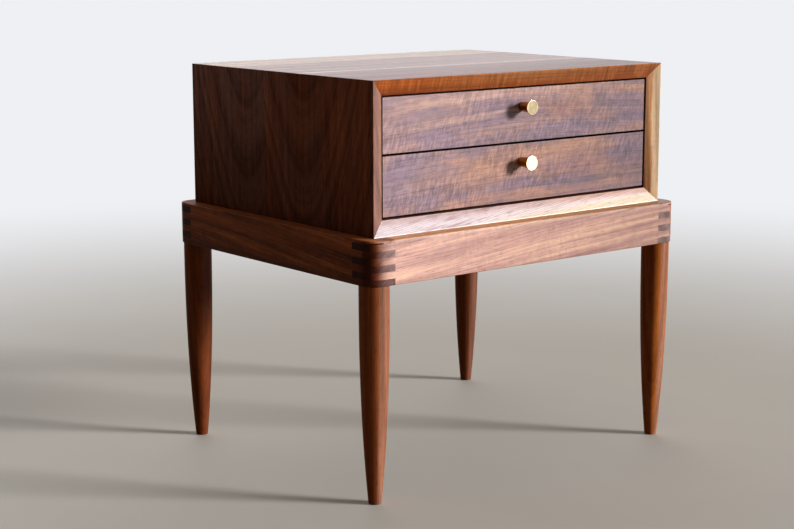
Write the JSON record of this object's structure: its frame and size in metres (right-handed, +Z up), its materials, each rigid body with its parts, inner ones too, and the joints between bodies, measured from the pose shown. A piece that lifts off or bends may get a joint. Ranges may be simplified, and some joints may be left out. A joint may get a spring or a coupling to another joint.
{
  "type": "two-drawer nightstand",
  "caption": "Walnut bedside stand: a mitred case with two inset drawers and round brass pulls, on a finger-jointed frame with turned tapered legs.",
  "frame": {"origin": "on the floor, under the centre of the base frame", "axes": "+X to the right along the stand's width, -Y out of the drawer fronts, +Z up"},
  "size_m": [0.603, 0.495, 0.588],
  "materials": {
    "case_walnut": "hand-rubbed oil, satin",
    "rail_walnut": "hand-rubbed oil, satin",
    "leg_walnut": "hand-rubbed oil, satin",
    "front_walnut": "hand-rubbed oil, satin, figured grain",
    "maple": "clear oil, matt",
    "brass": "satin turned brass",
    "steel": "zinc-plated"
  },
  "bodies": {
    "stand": {"case_top": "case_walnut", "case_bottom": "case_walnut", "case_left_side": "case_walnut", "case_right_side": "case_walnut", "mitre_splines": "maple", "back_panel": "case_walnut", "back_panel_screws": "brass", "upper_left_runner": "maple", "upper_right_runner": "maple", "lower_left_runner": "maple", "lower_right_runner": "maple", "runner_screws": "steel", "front_rail": "rail_walnut", "back_rail": "rail_walnut", "left_rail": "rail_walnut", "right_rail": "rail_walnut", "front_left_leg": "leg_walnut", "front_right_leg": "leg_walnut", "back_left_leg": "leg_walnut", "back_right_leg": "leg_walnut", "frame_fasteners": "steel", "rail_screws": "steel", "case_screws": "steel"},
    "upper_drawer": {"upper_drawer_front": "front_walnut", "upper_drawer_left_side": "maple", "upper_drawer_right_side": "maple", "upper_drawer_back": "maple", "upper_drawer_bottom": "maple", "upper_drawer_screws": "steel", "upper_knob": "brass", "upper_knob_screw": "steel"},
    "lower_drawer": {"lower_drawer_front": "front_walnut", "lower_drawer_left_side": "maple", "lower_drawer_right_side": "maple", "lower_drawer_back": "maple", "lower_drawer_bottom": "maple", "lower_drawer_screws": "steel", "lower_knob": "brass", "lower_knob_screw": "steel"}
  },
  "joints": [
    {"name": "upper_drawer_slide", "type": "slide", "parent": "stand", "child": "upper_drawer", "axis": [0, -1, 0], "range_m": [0, 0.3]},
    {"name": "lower_drawer_slide", "type": "slide", "parent": "stand", "child": "lower_drawer", "axis": [0, -1, 0], "range_m": [0, 0.3]}
  ]
}
